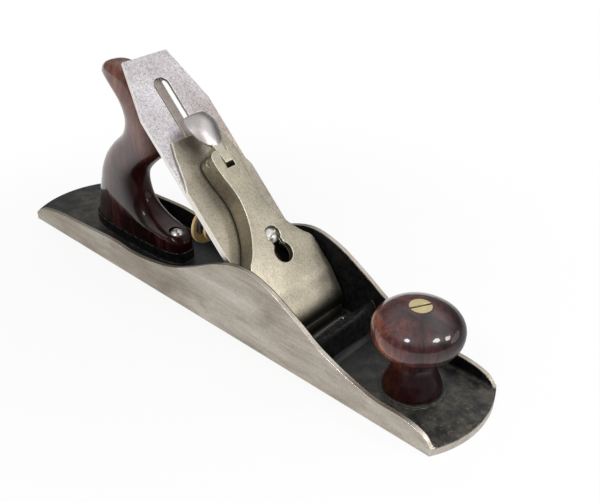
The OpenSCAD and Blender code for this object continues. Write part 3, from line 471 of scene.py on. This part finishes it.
def dress():
    """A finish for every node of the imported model, in its object's material slot."""
    screws = steel("screw_steel", (0.62, 0.60, 0.57), (0.46, 0.44, 0.41), rough=0.32,
                   brush=0.2, grain=0.12, pits=0.1, edge=0.25 * MM, recess_painted_shade=1.0)
    rods = steel("rod_steel", (0.42, 0.40, 0.38), (0.24, 0.22, 0.21), rough=0.38,
                 brush=0.4, grain=0.4, pits=0.4)
    blade = steel("blade_steel", (0.70, 0.665, 0.69), (0.53, 0.495, 0.505), rough=0.42,
                  brush=0.25, grain=0.6, pits=0.8, stretch=ALONG_BED, side=(0.95, 0.92, 0.86),
                  freckles=0.5, stained=0.9)
    # The cap iron's painted shade reaches far, for the dark band beside the lever cap.
    chip = steel("cap_iron_steel", (0.43, 0.385, 0.315), (0.31, 0.28, 0.225), rough=0.4,
                 brush=0.3, grain=0.5, pits=0.6, stretch=ALONG_BED, edge=0.7 * MM, side=(0.95, 0.91, 0.83),
                 foot=(9 * MM, 17 * MM), recess_painted_shade=0.9, reach=5 * MM, corner=(0.45, 0.8), freckles=0.2)
    # The lever cap's foot paints shade and a dark reflection on its nose.
    clamp = steel("lever_cap_metal", (0.455, 0.415, 0.325), (0.32, 0.285, 0.22), rough=0.38,
                  brush=0.5, grain=0.5, pits=0.9, stretch=ALONG_BED, edge=0.8 * MM, edge_light=2.4,
                  foot=(15 * MM, 27 * MM))
    cam = steel("cam_metal", (0.50, 0.47, 0.46), (0.38, 0.35, 0.34), rough=0.36,
                brush=0.1, grain=0.25, pits=0.3, neck=(94 * MM, 103 * MM))
    lever = steel("lever_steel", (0.36, 0.32, 0.29), (0.22, 0.19, 0.17), rough=0.42,
                  brush=0.4, grain=0.5, pits=0.6, stretch=ALONG_BED)
    spring = steel("spring_steel", (0.24, 0.24, 0.28), (0.14, 0.14, 0.17), rough=0.35,
                   brush=0.3, grain=0.4, pits=0.4, stretch=ALONG_BED)
    knob = rosewood("knob_rosewood", (0.010, 0.003, 0.004), (0.088, 0.025, 0.027), (0.42, 0.125, 0.055),
                    knob_painted_light, knob_painted_shade, turn=(0.0, 0.12, 0.3), coat_rough=0.045, coat_ior=1.46)
    handle = rosewood("tote_rosewood", (0.014, 0.002, 0.002), (0.105, 0.023, 0.023), (0.30, 0.14, 0.085),
                      tote_zone, tote_painted_shade, turn=(0.0, 0.5, 0.1), coat_rough=0.06, coat_ior=1.52)
    nut = brass("nut_brass", (0.97, 0.84, 0.50), (0.80, 0.65, 0.34), rough=0.3)
    wheel = brass("wheel_brass", (0.97, 0.72, 0.36), (0.76, 0.52, 0.23), rough=0.5, metal=0.15, deep=0.2)
    black = lacquered("frog_iron")
    finishes = {
        "sole_casting": body_iron(), "front_knob": knob, "tote": handle, "knob_rod": rods, "tote_rod": rods,
        "knob_nut": nut, "tote_nut": nut, "tote_toe_screw": screws, "frog_screws": screws,
        "frog_washers": screws, "frog": black, "adjusting_stud": rods, "yoke_pin": rods,
        "lever_cap_screw": screws, "lateral_pivot_rivet": rods, "cutter": blade, "cap_iron": chip,
        "cap_iron_screw": screws, "yoke": black, "depth_wheel": wheel, "lateral_lever": lever,
        "lateral_disc": lever, "lever_cap": clamp, "cap_spring": spring, "spring_rivet": spring,
        "cam_pin": rods, "cam_lever": cam,
    }
    for name, material in finishes.items():
        nodes[name].material_slots[0].material = material


def smooth_shading():
    """A modifier's nodes that drop the imported normals and shade every face smooth."""
    group = bpy.data.node_groups.new("smooth shading", "GeometryNodeTree")
    for way in ("INPUT", "OUTPUT"):
        group.interface.new_socket("Geometry", in_out=way, socket_type="NodeSocketGeometry")
    steps = [group.nodes.new(kind) for kind in (
        "NodeGroupInput", "GeometryNodeRemoveAttribute", "GeometryNodeSetShadeSmooth", "NodeGroupOutput")]
    steps[1].inputs["Name"].default_value = "custom_normal"
    for source, target in zip(steps, steps[1:]):
        group.links.new(source.outputs["Geometry"], target.inputs["Geometry"])
    return group


def smooth():
    """Shades the short flats of curved outlines as one surface, by modifiers alone."""
    shading = smooth_shading()
    for name in SMOOTHED:
        modifiers = nodes[name].modifiers
        modifiers.new("shading", "NODES").node_group = shading
        modifiers.new("weld", "WELD").merge_threshold = WELD_GAP
        split = modifiers.new("split", "EDGE_SPLIT")
        split.split_angle = SHARP_TURN
        split.use_edge_sharp = False
        modifiers.new("weighted", "WEIGHTED_NORMAL")


def camera():
    """The camera of the photograph, from its place, its right and its forward direction."""
    data = bpy.data.cameras.new("camera")
    data.lens = CAMERA_LENS
    data.sensor_width = CAMERA_SENSOR
    data.clip_start = CAMERA_NEAR
    holder = bpy.data.objects.new("camera", data)
    right = Vector(CAMERA_RIGHT).normalized()
    back = -Vector(CAMERA_FORWARD).normalized()
    up = back.cross(right).normalized()
    turn = Matrix((right, up, back)).transposed()
    holder.matrix_world = Matrix.Translation(CAMERA_PLACE) @ turn.to_4x4()
    bpy.context.scene.collection.objects.link(holder)
    bpy.context.scene.camera = holder


def lamp(name, azimuth, elevation, wide, high, power):
    """A soft lamp that faces the plane from an azimuth and elevation in degrees."""
    data = bpy.data.lights.new(name, "AREA")
    data.shape = "ELLIPSE"
    data.size = wide
    data.size_y = high
    data.energy = power
    holder = bpy.data.objects.new(name, data)
    a, e = math.radians(azimuth), math.radians(elevation)
    way = Vector((math.cos(a) * math.cos(e), math.sin(a) * math.cos(e), math.sin(e)))
    turn = (-way).to_track_quat("-Z", "Y").to_matrix().to_4x4()
    holder.matrix_world = Matrix.Translation(Vector(LAMP_AIM) + way * LAMP_AWAY) @ turn
    bpy.context.scene.collection.objects.link(holder)


def surroundings():
    """White behind the plane, soft fill light, and what shiny surfaces mirror."""
    world = bpy.data.worlds.new("studio")
    world.use_nodes = True
    bpy.context.scene.world = world
    w = Nodes(world.node_tree, "Generated")
    # What is mirrored is white overhead and dimmer towards the horizon, with the soft glow added
    sky = w.between(w.step(w.axes()[2], *HORIZON_RISE), HORIZON_LIGHT, 1.0)
    toward = w.measure("DOT_PRODUCT", w.place, tuple(Vector(GLOW_WAY).normalized()))
    glow = w.times(w.step(toward, *GLOW_SPREAD), GLOW)
    rays = w.add("ShaderNodeLightPath").outputs
    light = w.between(rays["Is Glossy Ray"], FILL_LIGHT, w.plus(sky, glow))
    light = w.between(rays["Is Transmission Ray"], light, 1.0)
    light = w.between(rays["Is Camera Ray"], light, 1.0)
    background = w.tree.nodes["Background"]
    w.link((1.0, 1.0, 1.0), background.inputs["Color"])
    w.link(light, background.inputs["Strength"])


def floor():
    """White paper for the camera, in reflections and through glass, and shadowed near the plane."""
    corners = [(-FLOOR_HALF, -FLOOR_HALF, 0), (FLOOR_HALF, -FLOOR_HALF, 0),
               (FLOOR_HALF, FLOOR_HALF, 0), (-FLOOR_HALF, FLOOR_HALF, 0)]
    mesh = bpy.data.meshes.new("floor")
    mesh.from_pydata(corners, [], [(0, 1, 2, 3)])
    ground = bpy.data.objects.new("floor", mesh)
    bpy.context.scene.collection.objects.link(ground)
    f = Finish("floor", 0.9)
    f.set(Base_Color=PAPER)
    rays = f.add("ShaderNodeLightPath").outputs
    seen = f.most(rays["Is Camera Ray"], rays["Is Glossy Ray"], rays["Is Transmission Ray"])
    away = f.measure("LENGTH", f.place)
    white_share = f.times(seen, f.between(f.step(away, *FLOOR_FADE), FLOOR_NEAR_WHITE, 1.0))
    blend = f.add("ShaderNodeMixShader")
    white = f.add("ShaderNodeEmission")
    for source, target in zip((white_share, f.shader.outputs[0], white.outputs[0]), blend.inputs):
        f.link(source, target)
    f.link(blend.outputs[0], f.tree.nodes["Material Output"].inputs["Surface"])
    mesh.materials.append(f.material)


def studio():
    """White floor and surroundings, and the soft lamps whose glints the knob shows."""
    bpy.context.scene.view_settings.view_transform = "Standard"
    floor()
    surroundings()
    for name, settings in LAMPS.items():
        lamp(name, *settings)


camera()
studio()
dress()
smooth()
